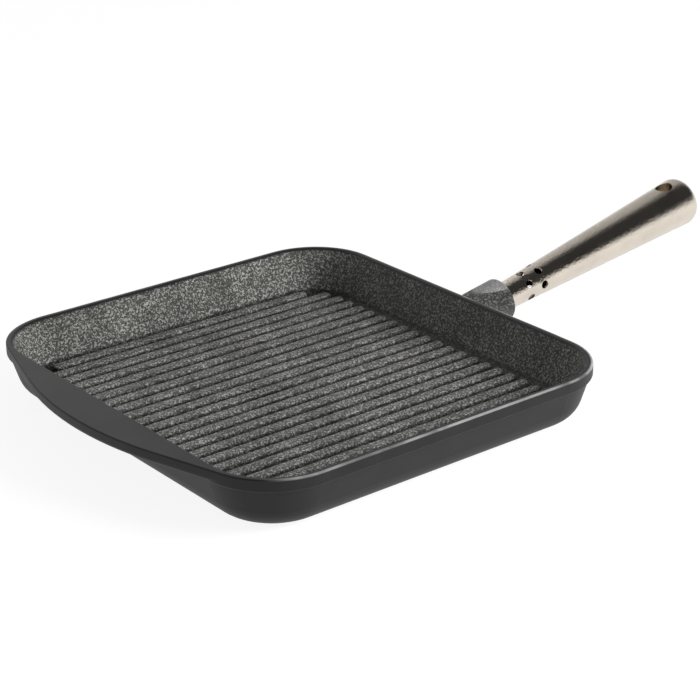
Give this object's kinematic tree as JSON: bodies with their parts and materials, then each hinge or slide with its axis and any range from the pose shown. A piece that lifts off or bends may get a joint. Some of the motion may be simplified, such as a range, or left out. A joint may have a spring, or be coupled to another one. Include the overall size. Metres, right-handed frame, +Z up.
{
  "type": "square grill pan",
  "caption": "Square cast iron grill pan with a ribbed cooking floor, a helper lip and a tapered tubular steel handle that unscrews.",
  "frame": {"origin": "centre of the pan's flat underside, midway between its walls", "axes": "+Z up, +X towards the handle, +Y across the pan"},
  "size_m": [0.4325, 0.25, 0.0618],
  "materials": {
    "cast_iron": "matte",
    "polished_steel": "polished",
    "plain_steel": "satin"
  },
  "bodies": {
    "pan": {"pan_body": "cast_iron"},
    "washer": {"spring_washer": "plain_steel"},
    "handle": {"handle_shell": "polished_steel", "handle_end_cap": "polished_steel", "hanging_eyelet": "polished_steel", "neck_bush": "plain_steel", "handle_stud": "plain_steel"}
  },
  "joints": [
    {"name": "handle_travel", "type": "slide", "parent": "pan", "child": "washer", "axis": [0.9833, 0, 0.1822], "range_m": [0, 0.015]},
    {"name": "handle_turn", "type": "hinge", "parent": "washer", "child": "handle", "pos_m": [0.1466, 0, 0.02116], "axis": [0.9833, 0, 0.1822], "range_deg": [0, 4320]}
  ],
  "couplings": [
    {"joint": "handle_travel", "follows": "handle_turn", "m_per_rad": 0.00019894}
  ]
}
